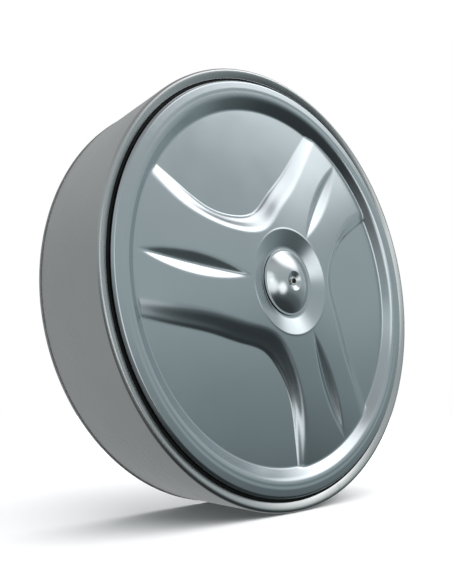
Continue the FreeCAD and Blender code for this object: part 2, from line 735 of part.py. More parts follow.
def latch_lever():
    """Channel-shaped lever with holes for its pin, the bail and the lock."""
    pivot_x, pivot_z = latch_point(*LEVER_PIVOT)
    bail_x, bail_z = latch_point(*BAIL_PIVOT)
    top = BAND_RADIUS + LEVER_TOP
    under_top = top - LEVER_SHEET
    bottom = BAND_RADIUS + LEVER_BOTTOM
    half = LEVER_HALF_WIDTH
    pieces = [block((LEVER_TAIL, -half, under_top), (pivot_x - 4, half, top))]
    for low in (-half, half - LEVER_SHEET):
        pieces.append(block((LEVER_TAIL + 8, low, bottom), (pivot_x - 4, low + LEVER_SHEET, top)))
        nose_top = pivot_z + LEVER_NOSE_RADIUS
        pieces.append(block((pivot_x - 4.5, low, bottom), (pivot_x, low + LEVER_SHEET, nose_top)))
        pieces.append(axial_rod(LEVER_NOSE_RADIUS, low, low + LEVER_SHEET, pivot_x, pivot_z))
    pieces.append(block((LEVER_TAIL, -half, under_top), (LEVER_TAIL + LEVER_SHEET, half, top + 2.0)))
    lever = fuse_all(pieces)
    holes = [
        axial_rod(PIN_RADIUS + PIN_CLEARANCE, -half - 1, half + 1, pivot_x, pivot_z),
        axial_rod(BAIL_RADIUS + PIN_CLEARANCE, -half - 1, half + 1, bail_x, bail_z),
        Part.makeCylinder(LOCK_BODY_RADIUS, 10.0, Vector(LOCK_X, 0, top - 6.0)),
    ]
    return at_latch(solid_of(lever.cut(Part.makeCompound(holes))))


def draw_bail():
    """Closed wire loop: its back bar turns in the lever and its front bar hooks the keeper."""
    bail_x, bail_z = latch_point(*BAIL_PIVOT)
    half = BAIL_HALF_WIDTH
    far = bail_x + BAIL_REACH
    section = Part.Face(Part.Wire(Part.makeCircle(BAIL_RADIUS)))
    straight = BAIL_REACH - 2 * BAIL_CORNER
    across = 2 * (half - BAIL_CORNER)
    pieces = []
    for y in (-half, half):
        rod_start = Vector(bail_x + BAIL_CORNER, y, bail_z)
        pieces.append(Part.makeCylinder(BAIL_RADIUS, straight, rod_start, Vector(1, 0, 0)))
    for x in (bail_x, far):
        bar_start = Vector(x, -half + BAIL_CORNER, bail_z)
        pieces.append(Part.makeCylinder(BAIL_RADIUS, across, bar_start, Vector(0, 1, 0)))
    corners = (
        (far - BAIL_CORNER, half - BAIL_CORNER, 0.0), (bail_x + BAIL_CORNER, half - BAIL_CORNER, 90.0),
        (bail_x + BAIL_CORNER, -half + BAIL_CORNER, 180.0), (far - BAIL_CORNER, -half + BAIL_CORNER, 270.0),
    )
    for x, y, start in corners:
        quarter = section.copy()
        quarter.rotate(ORIGIN, Vector(1, 0, 0), 90)
        quarter.translate(Vector(BAIL_CORNER, 0, 0))
        bend = quarter.revolve(ORIGIN, Vector(0, 0, 1), 90)
        bend.rotate(ORIGIN, Vector(0, 0, 1), start)
        bend.translate(Vector(x, y, bail_z))
        pieces.append(bend)
    return at_latch(fuse_all(pieces))


def latch_keeper():
    """Curved plate with an upstanding tab that the bail hooks behind."""
    outer = BAND_RADIUS + BASE_SHEET
    plate = latch_plate(KEEPER_FROM, KEEPER_TO, KEEPER_HALF_WIDTH, BAND_RADIUS, outer)
    half = KEEPER_TAB_HALF_WIDTH
    tab_start, tab_end = KEEPER_TAB
    tab = block((tab_start, -half, BAND_RADIUS - 8), (tab_end, half, BAND_RADIUS + KEEPER_TAB_TOP))
    keeper = fuse_all([plate, tab])
    under = axial_rod(BAND_RADIUS, -half - 10, half + 10)
    return at_latch(solid_of(keeper.cut(Part.makeCompound([under] + latch_holes(KEEPER_RIVETS)))))


def joint_strap():
    """Tongue riveted inside the left part, which closes the seam and slides under the right part."""
    wall = BAND_RADIUS - BAND_SHEET
    fixed_end = LATCH_SEAM_ANGLE - arc_angle(STRAP_FIXED)
    fixed = ring(wall - 1.0, wall, *STRAP_DEPTHS, fixed_end, LEFT_SPAN[1])
    free_outer = wall - STRAP_CLEARANCE
    free_end = LATCH_SEAM_ANGLE + arc_angle(STRAP_OVERLAP)
    free = ring(free_outer - 1.0, free_outer, *STRAP_DEPTHS, LATCH_SEAM_ANGLE - arc_angle(4.0), free_end)
    holes = [placed(rivet_hole(), angle, depth) for angle, depth in latch_rivet_places(KEEPER_RIVETS)]
    return solid_of(fixed.fuse(free).cut(Part.makeCompound(holes)))


# ---------------------------------------------------------------- lock

def lock_rod(radius, bottom, top):
    return Part.makeCylinder(radius, top - bottom, Vector(LOCK_X, 0, BAND_RADIUS + bottom))


def lock_housing():
    flange_top = LEVER_TOP + LOCK_FLANGE_HEIGHT
    body = lock_rod(LOCK_BODY_RADIUS, LOCK_BOTTOM, LEVER_TOP)
    flange = lock_rod(LOCK_FLANGE_RADIUS, LEVER_TOP, flange_top)
    bore = lock_rod(BARREL_RADIUS + PIN_CLEARANCE, LOCK_BOTTOM - 1, flange_top + 1)
    return at_latch(solid_of(body.fuse(flange).cut(bore)))


def lock_clip():
    """Spring ring under the lever's top that holds the housing."""
    top = LEVER_TOP - LEVER_SHEET
    disc = lock_rod(CLIP_RING_RADIUS, top - 1.5, top)
    return at_latch(disc.cut(lock_rod(LOCK_BODY_RADIUS, top - 2, top + 1)))


def lock_barrel():
    """Plug with a key slot in its face and a square end for the cam."""
    top = LEVER_TOP + LOCK_FLANGE_HEIGHT - 0.3
    plug = lock_rod(BARREL_RADIUS, CAM_TOP, top)
    z = BAND_RADIUS + CAM_BOTTOM - 0.2
    square = block((LOCK_X - 1.8, -1.8, z), (LOCK_X + 1.8, 1.8, BAND_RADIUS + CAM_TOP + 0.5))
    width, length, depth = KEYWAY
    z_top = BAND_RADIUS + top
    slot = block(
        (LOCK_X - length / 2, -width / 2, z_top - depth), (LOCK_X + length / 2, width / 2, z_top + 1)
    )
    return at_latch(solid_of(plug.fuse(square).cut(slot)))


def lock_cam():
    """Arm on the barrel's end, which swings under the strike when the key is turned."""
    disc = lock_rod(CAM_WIDTH / 2 + 0.8, CAM_BOTTOM, CAM_TOP)
    z_from = BAND_RADIUS + CAM_BOTTOM
    z_to = BAND_RADIUS + CAM_TOP
    arm = block((LOCK_X - CAM_LENGTH, -CAM_WIDTH / 2, z_from), (LOCK_X, CAM_WIDTH / 2, z_to))
    hole = block((LOCK_X - 1.8, -1.8, z_from - 1), (LOCK_X + 1.8, 1.8, z_to + 1))
    return at_latch(solid_of(disc.fuse(arm).cut(hole)))


# ---------------------------------------------------------------- all pieces

def main():
    os.makedirs("parts", exist_ok=True)
    left_holes = hinge_rivet_places(-1) + latch_rivet_places(KEEPER_RIVETS)
    right_holes = hinge_rivet_places(1) + latch_rivet_places(BASE_RIVETS)
    left_knuckles = knuckle_spans(0)
    right_knuckles = knuckle_spans(1)
    wall = BAND_RADIUS - BAND_SHEET
    plate_top = BAND_RADIUS + BASE_SHEET
    pieces = {
        "face_plate": face_plate(),
        "face_seal": face_seal(),
        "sidewall_pads": sidewall_pads(),
        "cap_gasket": cap_gasket(),
        "centre_cap": centre_cap(),
        "screw_washer": screw_washer(),
        "cap_screw": cap_screw(),
        "cap_spacer": cap_spacer(),
        "hub_backing": hub_backing(),
        "hub_nut": hub_nut(),
        "band_left": band_part(LEFT_SPAN, left_holes),
        "band_right": band_part(RIGHT_SPAN, right_holes),
        "edge_trim_left": edge_trim(LEFT_SPAN),
        "edge_trim_right": edge_trim(RIGHT_SPAN),
        "tread_strip_left": tread_strip(LEFT_SPAN),
        "tread_strip_right": tread_strip(RIGHT_SPAN),
        "face_clips_left": face_clips(CLIP_ANGLES_LEFT),
        "face_clips_right": face_clips(CLIP_ANGLES_RIGHT),
        "hinge_leaf_left": hinge_leaf(-1, left_knuckles, right_knuckles, PIN_RADIUS),
        "hinge_leaf_right": hinge_leaf(1, right_knuckles, left_knuckles, PIN_RADIUS + PIN_CLEARANCE),
        "hinge_pin": hinge_pin(),
        "hinge_rivets_left": hinge_rivets(-1),
        "hinge_rivets_right": hinge_rivets(1),
        "latch_base": latch_base(),
        "base_rivets": latch_rivets(BASE_RIVETS, plate_top, wall),
        "lever_pin": lever_pin(),
        "latch_lever": latch_lever(),
        "draw_bail": draw_bail(),
        "latch_keeper": latch_keeper(),
        "keeper_rivets": latch_rivets(KEEPER_RIVETS, plate_top, wall - 1.0),
        "joint_strap": joint_strap(),
        "lock_housing": lock_housing(),
        "lock_clip": lock_clip(),
        "lock_barrel": lock_barrel(),
        "lock_cam": lock_cam(),
    }
    for name, shape in pieces.items():
        export(name, shape)


main()
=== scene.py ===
"""The looks of the spare tire cover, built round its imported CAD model.

Units are metres. The wheel axis is Y, the face looks towards -Y and +Z is up. A depth is
measured backwards from the crest of the face plate's rim. Angles are in degrees about the wheel
axis, anticlockwise from +X as seen from the front.
"""

import json
from math import atan2, ceil, cos, radians, sin, sqrt, tan

import bmesh
import bpy
import numpy as np
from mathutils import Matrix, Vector

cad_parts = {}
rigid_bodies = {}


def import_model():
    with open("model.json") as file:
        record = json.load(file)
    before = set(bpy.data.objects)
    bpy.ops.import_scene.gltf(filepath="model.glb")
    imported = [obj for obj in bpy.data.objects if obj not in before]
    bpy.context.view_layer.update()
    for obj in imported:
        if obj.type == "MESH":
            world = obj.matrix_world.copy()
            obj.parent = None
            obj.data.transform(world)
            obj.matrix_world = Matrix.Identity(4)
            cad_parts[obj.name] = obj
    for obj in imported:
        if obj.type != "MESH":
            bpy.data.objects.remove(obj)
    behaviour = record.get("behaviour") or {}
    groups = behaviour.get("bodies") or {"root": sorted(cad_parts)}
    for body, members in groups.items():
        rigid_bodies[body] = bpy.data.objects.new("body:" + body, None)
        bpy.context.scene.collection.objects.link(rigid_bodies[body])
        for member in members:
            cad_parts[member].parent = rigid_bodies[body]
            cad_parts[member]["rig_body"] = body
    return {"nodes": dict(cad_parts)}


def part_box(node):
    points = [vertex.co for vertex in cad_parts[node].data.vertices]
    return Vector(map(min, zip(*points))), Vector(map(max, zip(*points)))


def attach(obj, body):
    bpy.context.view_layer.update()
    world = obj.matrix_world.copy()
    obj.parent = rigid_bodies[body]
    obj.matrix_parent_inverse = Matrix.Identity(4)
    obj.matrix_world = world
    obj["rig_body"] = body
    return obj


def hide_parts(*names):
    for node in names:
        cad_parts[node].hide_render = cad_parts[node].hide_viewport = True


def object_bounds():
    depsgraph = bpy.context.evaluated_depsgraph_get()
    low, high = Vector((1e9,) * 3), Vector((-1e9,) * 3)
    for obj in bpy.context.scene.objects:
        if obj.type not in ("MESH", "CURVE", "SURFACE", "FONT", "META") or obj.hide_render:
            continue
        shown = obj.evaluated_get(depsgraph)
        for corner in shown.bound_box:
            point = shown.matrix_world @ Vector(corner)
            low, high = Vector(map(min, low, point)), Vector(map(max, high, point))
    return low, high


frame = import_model()
cad_low, cad_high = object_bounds()

MM = 0.001

# Camera and stage
CAMERA_PLACE = (-0.694, -0.729, -0.210)
CAMERA_HEADING = 42.5        # to the right of +Y
CAMERA_PITCH = 11.94
CAMERA_LENS = 33.3           # millimetres
SENSOR_WIDTH = 36.0
NEAR_CLIP = 0.02
FAR_CLIP = 50.0
FLOOR_SIZE = 16.0
LIGHT_ENERGY = 3.6
LIGHT_SPREAD = 100.0
LIGHT_TILT = (20.0, 12.0)    # about X and about Y

# How bright the metal sees the room at a height, (height, colour), in front and behind
FRONT_SHADES = (
    (-1.0, (0.03, 0.034, 0.036)), (-0.45, (0.045, 0.053, 0.056)), (-0.22, (0.10, 0.12, 0.125)),
    (0.0, (0.25, 0.30, 0.31)), (0.20, (0.41, 0.47, 0.48)), (0.55, (0.47, 0.51, 0.52)),
    (0.85, (0.38, 0.38, 0.39)), (1.0, (0.34, 0.34, 0.35)),
)
REAR_SHADES = (
    (-1.0, (0.33, 0.345, 0.35)), (-0.3, (0.38, 0.395, 0.40)), (0.2, (0.37, 0.39, 0.395)),
    (0.7, (0.46, 0.475, 0.48)), (1.0, (0.40, 0.40, 0.41)),
)
# Between these values of a direction's Y, the shades in front give way to those behind
BEHIND_FROM = -0.15
BEHIND_TO = 0.35
# Soft lamps of the room, (direction, inner angle, outer angle, strength)
ROOM_LAMPS = (
    ((0.42, -0.46, 0.75), 6.0, 22.0, 1.25),
    ((0.67, -0.38, 0.63), 3.0, 19.0, 1.0),
    ((0.27, -0.96, -0.06), 4.0, 13.0, 1.15),
    ((-0.12, -0.99, -0.05), 4.0, 17.0, 1.0),
    ((-0.22, -0.93, 0.25), 3.0, 13.0, 0.7),
    ((-0.54, -0.75, -0.48), 5.0, 36.0, 0.14),
    ((0.93, 0.28, 0.18), 6.0, 20.0, 1.3),
)

# How much smudges and grain change the metal's roughness
SMUDGE = 0.03
STREAK = 0.02

# All sizes below are in millimetres, apart from MERGE_METRES.

# Face plate. Each corner of its relief is (radius, depth, half length of its bend).
HUB_CORNERS = ((62.0, 11.0, 2.0), (91.8, 0.0, 0.9), (94.6, 0.65, 1.0))
SPOKE_CORNER = (311.5, 14.6, 2.0)
WINDOW_CORNER = (307.8, 18.0, 2.0)
RIM_CORNERS = ((326.0, 1.3, 5.5), (334.0, 0.9, 1.6), (337.5, 0.1, 1.6), (349.2, 0.0, 1.5))
RIM_SLOPE = 0.95             # how fast the rim falls away beyond its last corner
FACE_SHEET = 1.4
SCREW_HOLE = 3.3
RELIEF_END = 350.5
RELIEF_END_DEPTH = 1.24
BACK_END = RELIEF_END - 1.5  # the same on the rear side of the sheet
BACK_END_DEPTH = 2.6
EDGE_RADIUS = 352.3
EDGE_DEPTH = 3.2
EDGE_BEND = 1.2
EDGE_INNER_BEND = 0.8
FLANGE_RADIUS = 366.0
FLANGE_DEPTH = 21.0
FLANGE_SHEET = 1.0
FLANGE_BEND = 1.6
SHOULDER_BEND = 7.0
STEEP_SHARE = 0.75           # part of a flank's width that its steep upper slope takes
STEEP_DROP = 0.74            # part of a window's depth that the steep slope drops
TOE_RUN = 4.0                # a small step down onto the floor at the flank's foot
TOE_DROP = 0.13
TOE_BEND = 1.8
LEAST_FLANK = 4.0            # a flank is never taken as narrower
OUTLINE_REACH = 60.0         # how far a window's outline runs on under the rim
OUTLINE_STEPS = 320
FACE_SECTORS = 3
HALF_SECTOR = np.pi / FACE_SECTORS
SECTOR_STEPS = 220
# Rings of the face plate's mesh, (from, to, count), closer together where it bends
RING_SPANS = (
    (SCREW_HOLE, 54.0, 3), (54.0, 66.0, 8), (66.0, 89.0, 4), (89.0, 97.0, 12), (97.0, 300.0, 90),
    (300.0, RELIEF_END, 36),
)
SLOPE_PROBE = 0.25           # half the span over which a slope is measured

# Window outline, (anticlockwise, outwards) from the wheel axis. The foot is the edge of the flat
# floor, and the shoulder is where the flank meets the spoke.
WINDOW_FOOT = (
    (172.3, 254.8), (141.0, 211.0), (106.0, 169.0), (60.0, 142.0), (15.0, 133.0),
    (-35.0, 150.0), (-88.0, 170.3), (-155.0, 202.0), (-207.3, 227.1),
)
WINDOW_SHOULDER = (
    (187.2, 244.8), (161.0, 196.6), (119.5, 154.0), (69.0, 119.5), (13.0, 104.0),
    (-44.0, 124.0), (-99.5, 145.5), (-166.3, 179.4), (-224.5, 210.1),
)

# Groove along each spoke, (outwards, anticlockwise)
GROOVE_INNER = (102.8, 6.5)
GROOVE_OUTER = (300.0, -1.0)
GROOVE_DEPTH = 6.5
GROOVE_FLARE = 2.4           # half width over depth
GROOVE_ROOT = 2.0
GROOVE_EDGE = 1.8

# Centre cap
CAP_SHOULDER = 54.4
CAP_RADIUS = 58.5
CAP_SHEET = 1.2
CAP_BACK = 10.0
CAP_RISE = 7.5
CAP_SHOULDER_BEND = 1.4
CAP_EDGE_BEND = 0.5
DOME_STEPS = 22
DOME_BACK_STEPS = 12
DOME_MARGIN = 2.5            # the dome's own points keep this far from its bends
DOME_BACK_MARGIN = 2.0
DIMPLE_RADIUS = 17.0
DIMPLE_DEPTH = 4.0
DIMPLE_BRIM_BEND = 1.6
DIMPLE_FLOOR = 8.5           # radius of its flat floor
DIMPLE_FLOOR_BEND = 3.0
DIMPLE_BACK_BEND = 2.0

# Band. Each corner of a section is (radius, depth, radius of its bend).
BAND_RADIUS = 373.0
BAND_SHEET = 1.0
BAND_DEPTH = 168.0
HEM_RADIUS = 370.6
LIP_CORNERS = ((357.0, 18.0, 0.0), (357.0, 6.3, 2.5), (BAND_RADIUS, -3.6, 5.0))
HEM_CORNERS = ((BAND_RADIUS, BAND_DEPTH, 1.1), (HEM_RADIUS, BAND_DEPTH, 1.1), (HEM_RADIUS, 160.0, 0.0))

# Rubber and foam
SEAL_CLEARANCE = 0.05
SEAL_RADIUS = 356.7
SEAL_FRONT = 6.9
SEAL_FOOT = 18.4
SEAL_BEND = 1.2
SEAL_FOOT_BEND = 0.6
RUBBER_BEND = 0.3            # small bend at most corners of the rubber
CONTACT_BEND = 0.1           # at corners that lie against the band
TRIM_THICKNESS = 1.0
TRIM_START = 165.0
TRIM_REACH = 4.0             # how much further it goes on the inside
TRIM_BEND = 0.9
TRIM_END_BEND = 0.4
SEAT_RADIUS = 367.5
SEAT_START = 125.0
SEAT_END = 155.0
SEAT_RIBS = 9
SEAT_RIB_HEIGHT = 1.9
SEAT_RIB_TOP = (0.35, 0.65)  # start and end of a rib's flat top, as a part of the pitch
SEAT_BACK_BEND = 0.2
PAD_EDGE = 2.2               # width of the bevel on the pads' edges

# Meshes. A crease is an edge whose faces meet at more than this many degrees.
DEGREES_PER_STEP = 0.9
CAP_STEP = 2.0
GRIP_STEP = 1.8
FACE_CREASE = 40.0
BAND_CREASE = 35.0
RUBBER_CREASE = 50.0
ROUND_CREASE = 60.0
HARDWARE_CREASE = 50.0
HARDWARE_EDGE = 0.25         # width of the bevel on its edges
BEVELLED_ANGLE = 32.0        # edges that turn more than this get the bevel
FLAT_ANGLE = 1.0             # faces that meet at less than this are merged
MERGE_METRES = 2e-6

CREST_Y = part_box("face_plate")[1].y - (FLANGE_DEPTH + FLANGE_SHEET) * MM


# ---------------------------------------------------------------- shapes

def angles_of(node):
    """The first and last angle of a node that is an arc of a ring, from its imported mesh."""
    points = np.array([v.co for v in frame["nodes"][node].data.vertices])
    angles = np.sort(np.degrees(np.arctan2(points[:, 2], points[:, 0])) % 360)
    gaps = np.diff(np.append(angles, angles[0] + 360))
    widest = int(np.argmax(gaps))
    first = angles[(widest + 1) % len(angles)]
    return first, first + 360 - gaps[widest]


def bent_path(corners, steps=6):
    """Points along straight runs with a round bend at each corner, (across, along, bend radius)."""
    points = [np.array(corners[0][:2])]
    for before, corner, after in zip(corners, corners[1:], corners[2:]):
        at = np.array(corner[:2])
        back = np.array(before[:2]) - at
        ahead = np.array(after[:2]) - at
        back /= np.linalg.norm(back)
        ahead /= np.linalg.norm(ahead)
        if corner[2] == 0:
            points.append(at)
            continue
        half = np.arccos(np.clip(back @ ahead, -1, 1)) / 2
        middle = (back + ahead) / np.linalg.norm(back + ahead)
        centre = at + middle * corner[2] / sin(half)
        start = at + back * corner[2] / tan(half) - centre
        end = at + ahead * corner[2] / tan(half) - centre
        first = atan2(start[1], start[0])
        turn = (atan2(end[1], end[0]) - first + np.pi) % (2 * np.pi) - np.pi
        for step in range(steps + 1):
            angle = first + turn * step / steps
            points.append(centre + corner[2] * np.array((cos(angle), sin(angle))))
    points.append(np.array(corners[-1][:2]))
    return np.array(points)


def sheet_section(corners, thickness):
    """A closed section: a bent path, and the same path moved to its left by the thickness."""
    path = bent_path(corners)
    along = np.diff(path, axis=0)
    along /= np.linalg.norm(along, axis=1)[:, None]
    before = np.vstack([along[:1], along])
    after = np.vstack([along, along[-1:]])
    middle = before + after
    middle /= np.linalg.norm(middle, axis=1)[:, None]
    left = np.column_stack([-middle[:, 1], middle[:, 0]])
    stretch = 1 / np.sum(middle * after, axis=1)
    return np.vstack([path, (path + left * (thickness * stretch)[:, None])[::-1]])


def rounded_loop(corners, steps=4):
    """A closed section with every corner bent, from (radius, depth, bend) corners."""
    around = [corners[-1], *corners, corners[0]]
    return bent_path(around, steps)[1:-1]


def linked(name, mesh, crease):
    """An object of a mesh in the scene, smooth apart from its creases."""
    mesh.shade_smooth()
    mesh.set_sharp_from_angle(angle=radians(crease))
    piece = bpy.data.objects.new(name, mesh)
    bpy.context.scene.collection.objects.link(piece)
    return piece


def new_object(name, vertices, faces, crease):
    """A smooth object with its doubled points merged and its faces looking outwards."""
    mesh = bpy.data.meshes.new(name)
    mesh.from_pydata(vertices, [], faces)
    work = bmesh.new()
    work.from_mesh(mesh)
    bmesh.ops.remove_doubles(work, verts=work.verts, dist=MERGE_METRES)
    bmesh.ops.recalc_face_normals(work, faces=work.faces)
    work.to_mesh(mesh)
    work.free()
    return linked(name, mesh, crease)


def ring_point(radius, depth, angle):
    return radius * MM * cos(angle), CREST_Y + depth * MM, radius * MM * sin(angle)


def turned(name, section, crease, first=0.0, last=360.0, step=DEGREES_PER_STEP):
    """The solid that a closed section of (radius, depth) points makes about the wheel axis."""
    full = last - first == 360.0
    steps = ceil((last - first) / step)
    rows = steps if full else steps + 1
    count = len(section)
    vertices = []
    for row in range(rows):
        angle = radians(first + (last - first) * row / steps)
        vertices += [ring_point(radius, depth, angle) for radius, depth in section]
    faces = []
    for row in range(steps):
        here = row * count
        there = (row + 1) % rows * count
        for i in range(count):
            j = (i + 1) % count
            faces.append((here + i, there + i, there + j, here + j))
    if not full:
        faces.append(tuple(range(count)))
        faces.append(tuple(range(steps * count, (steps + 1) * count))[::-1])
    return new_object(name, vertices, faces, crease)


def finished(piece, node, body, material):
    """Puts a piece on its body in place of a CAD node, with its material."""
    piece.data.materials.append(material)
    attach(piece, body)
    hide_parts(node)


# ---------------------------------------------------------------- face plate

def ramp(distance, bend):
    """0 before the corner and the distance after it, with a round bend between."""
    middle = (np.clip(distance, -bend, bend) + bend) ** 2 / (4 * bend)
    return np.where(distance > bend, distance, middle)


def profile(radius, corners, first_slope, last_slope):
    """Depth at a radius along straight runs through corners, each with a round bend."""
    slopes = [first_slope]
    slopes += [(b[1] - a[1]) / (b[0] - a[0]) for a, b in zip(corners, corners[1:])]
    slopes.append(last_slope)
    depth = corners[0][1] + first_slope * (radius - corners[0][0])
    for (at, _, bend), before, after in zip(corners, slopes, slopes[1:]):
        depth = depth + (after - before) * ramp(radius - at, bend)
    return depth


def spoke_profile(radius):
    """The hub's dish, the spokes' shallow cone, the wall and the flat-crested rim."""
    return profile(radius, (*HUB_CORNERS, SPOKE_CORNER, *RIM_CORNERS), 0.0, RIM_SLOPE)


def window_profile(radius):
    """The windows' flat floor, the wall and the flat-crested rim."""
    return profile(radius, (WINDOW_CORNER, *RIM_CORNERS), 0.0, RIM_SLOPE)


def smooth_curve(points, steps):
    """A natural cubic spline through a few points."""
    points = np.array(points, float)
    lengths = np.linalg.norm(np.diff(points, axis=0), axis=1)
    knots = np.append(0, np.cumsum(lengths))
    count = len(points)
    system = np.eye(count)
    right = np.zeros((count, 2))
    for i in range(1, count - 1):
        before, after = lengths[i - 1], lengths[i]
        system[i, i - 1:i + 2] = before, 2 * (before + after), after
        right[i] = 6 * ((points[i + 1] - points[i]) / after - (points[i] - points[i - 1]) / before)
    bends = np.linalg.solve(system, right)
    at = np.linspace(0, knots[-1], steps)
    i = np.clip(np.searchsorted(knots, at) - 1, 0, count - 2)
    a = ((knots[i + 1] - at) / lengths[i])[:, None]
    b = 1 - a
    squared = (lengths[i] ** 2)[:, None] / 6
    bend = (a ** 3 - a) * bends[i] + (b ** 3 - b) * bends[i + 1]
    return a * points[i] + b * points[i + 1] + bend * squared


def outline(points):
    """A window's outline as a fine line that runs on under the rim at both ends."""
    curve = smooth_curve(points, OUTLINE_STEPS)
    start = curve[0] - curve[1]
    end = curve[-1] - curve[-2]
    start = curve[0] + start / np.linalg.norm(start) * OUTLINE_REACH
    end = curve[-1] + end / np.linalg.norm(end) * OUTLINE_REACH
    return np.vstack([start, curve, end])


def signed_distance(points, line):
    """Distance of points from a line, positive on the window's side of it."""
    a = line[:-1]
    run = line[1:] - a
    away = points[:, None, :] - a[None]
    share = np.clip(np.sum(away * run, axis=2) / np.sum(run * run, axis=1), 0, 1)
    apart = away - share[:, :, None] * run
    squared = np.sum(apart * apart, axis=2)
    nearest = np.argmin(squared, axis=1)
    rows = np.arange(len(points))
    near_away = away[rows, nearest]
    near_run = run[nearest]
    side = near_run[:, 0] * near_away[:, 1] - near_run[:, 1] * near_away[:, 0]
    return np.sqrt(squared[rows, nearest]) * -np.sign(side)


def groove_depth(out, side):
    """Depth of the leaf-shaped groove below a spoke, in the spoke's own frame."""
    inner = np.array(GROOVE_INNER)
    chord = np.array(GROOVE_OUTER) - inner
    length = np.linalg.norm(chord)
    along = ((out - inner[0]) * chord[0] + (side - inner[1]) * chord[1]) / length
    across = ((side - inner[1]) * chord[0] - (out - inner[0]) * chord[1]) / length
    root = GROOVE_DEPTH * (1 - (2 * along / length - 1) ** 2)
    across = np.sqrt(across ** 2 + GROOVE_ROOT ** 2) - GROOVE_ROOT
    return ramp(root - across / GROOVE_FLARE, GROOVE_EDGE)


def relief(out, side, foot, shoulder):
    """Depth of the face plate's front in one third of it, whose window looks along +out."""
    radius = np.hypot(out, side)
    base = spoke_profile(radius)
    points = np.column_stack([side, out])
    beyond_shoulder = signed_distance(points, shoulder)
    beyond_foot = signed_distance(points, foot)
    width = np.maximum(beyond_shoulder - beyond_foot, LEAST_FLANK)
    steep = width * STEEP_SHARE
    upper = (ramp(beyond_shoulder, SHOULDER_BEND) - ramp(beyond_shoulder - steep, SHOULDER_BEND)) / steep
    gentle = width - steep
    lower = (ramp(beyond_shoulder - steep, TOE_RUN) - ramp(beyond_foot, TOE_BEND)) / gentle
    toe = (ramp(beyond_foot + TOE_RUN, TOE_BEND) - ramp(beyond_foot, TOE_BEND)) / TOE_RUN
    share = STEEP_DROP * upper + (1 - STEEP_DROP - TOE_DROP) * lower + TOE_DROP * toe
    base = base + (window_profile(radius) - base) * share
    angle = np.arctan2(side, out)
    spoke = np.where(angle < 0, angle + HALF_SECTOR, angle - HALF_SECTOR)
    return base + groove_depth(radius * np.cos(spoke), radius * np.sin(spoke))


def face_rings():
    """Radii of the rings of the face plate's front."""
    rings = []
    for start, end, count in RING_SPANS:
        rings += list(np.linspace(start, end, count, endpoint=False))
    return np.array(rings + [RELIEF_END])


def relief_rings(radii, foot, shoulder):
    """Depth, and its slopes outwards and sideways, on rings of the front."""
    angles = np.linspace(-HALF_SECTOR, HALF_SECTOR, SECTOR_STEPS, endpoint=False)
    radius, angle = np.meshgrid(radii, angles, indexing="ij")
    out = (radius * np.cos(angle)).ravel()
    side = (radius * np.sin(angle)).ravel()
    depth = relief(out, side, foot, shoulder)
    slopes = []
    for step_out, step_side in ((SLOPE_PROBE, 0), (0, SLOPE_PROBE)):
        deeper = relief(out + step_out, side + step_side, foot, shoulder)
        shallower = relief(out - step_out, side - step_side, foot, shoulder)
        slopes.append(((deeper - shallower) / (2 * SLOPE_PROBE)).reshape(radius.shape))
    return depth.reshape(radius.shape), *slopes, angles


def face_pressing(material):
    """The face plate: one pressed sheet with rounded relief and a turned-back, flanged edge."""
    foot = outline(WINDOW_FOOT)
    shoulder = outline(WINDOW_SHOULDER)
    edge = bent_path((
        (RELIEF_END, RELIEF_END_DEPTH, 0.0), (EDGE_RADIUS, EDGE_DEPTH, EDGE_BEND),
        (EDGE_RADIUS, FLANGE_DEPTH, FLANGE_BEND), (FLANGE_RADIUS, FLANGE_DEPTH, 0.0),
        (FLANGE_RADIUS, FLANGE_DEPTH + FLANGE_SHEET, 0.0),
        (EDGE_RADIUS - FLANGE_SHEET, FLANGE_DEPTH + FLANGE_SHEET, FLANGE_BEND),
        (EDGE_RADIUS - FLANGE_SHEET, EDGE_DEPTH + FLANGE_SHEET, EDGE_INNER_BEND),
        (BACK_END, BACK_END_DEPTH, 0.0),
    ))[1:-1]
    front_radii = face_rings()
    back_radii = np.append(front_radii[front_radii < BACK_END][::-2], SCREW_HOLE)
    count = FACE_SECTORS * SECTOR_STEPS
    rows = []
    normals = []
    for radii, lift, sign in ((front_radii, 0.0, 1), (back_radii, FACE_SHEET, -1)):
        depth, slope_out, slope_side, angles = relief_rings(radii, foot, shoulder)
        for i, radius in enumerate(radii):
            row = []
            row_normals = []
            for sector in range(FACE_SECTORS):
                turn = 2 * HALF_SECTOR * sector
                out_way = np.array((cos(turn), sin(turn)))
                side_way = np.array((-sin(turn), cos(turn)))
                for j, angle in enumerate(angles):
                    row.append(ring_point(radius, depth[i, j] + lift, angle + turn))
                    slope = slope_out[i, j] * out_way + slope_side[i, j] * side_way
                    row_normals.append(Vector((slope[0], -1, slope[1])).normalized() * sign)
            rows.append(row)
            normals.append(row_normals)
        if lift == 0.0:
            turns = np.linspace(-HALF_SECTOR, 2 * np.pi - HALF_SECTOR, count, endpoint=False)
            for radius, depth_here in edge:
                rows.append([ring_point(radius, depth_here, angle) for angle in turns])
                normals.append([Vector((0, 0, 0))] * count)
    faces = []
    for here in range(len(rows)):
        there = (here + 1) % len(rows)
        for j in range(count):
            k = (j + 1) % count
            faces.append((here * count + j, there * count + j, there * count + k, here * count + k))
    mesh = bpy.data.meshes.new("face_pressing")
    mesh.from_pydata([v for row in rows for v in row], [], faces)
    mesh.validate()
    piece = linked("face_pressing", mesh, FACE_CREASE)
    mesh.normals_split_custom_set_from_vertices([n for row in normals for n in row])
    finished(piece, "face_plate", "root", material)


# ---------------------------------------------------------------- hub

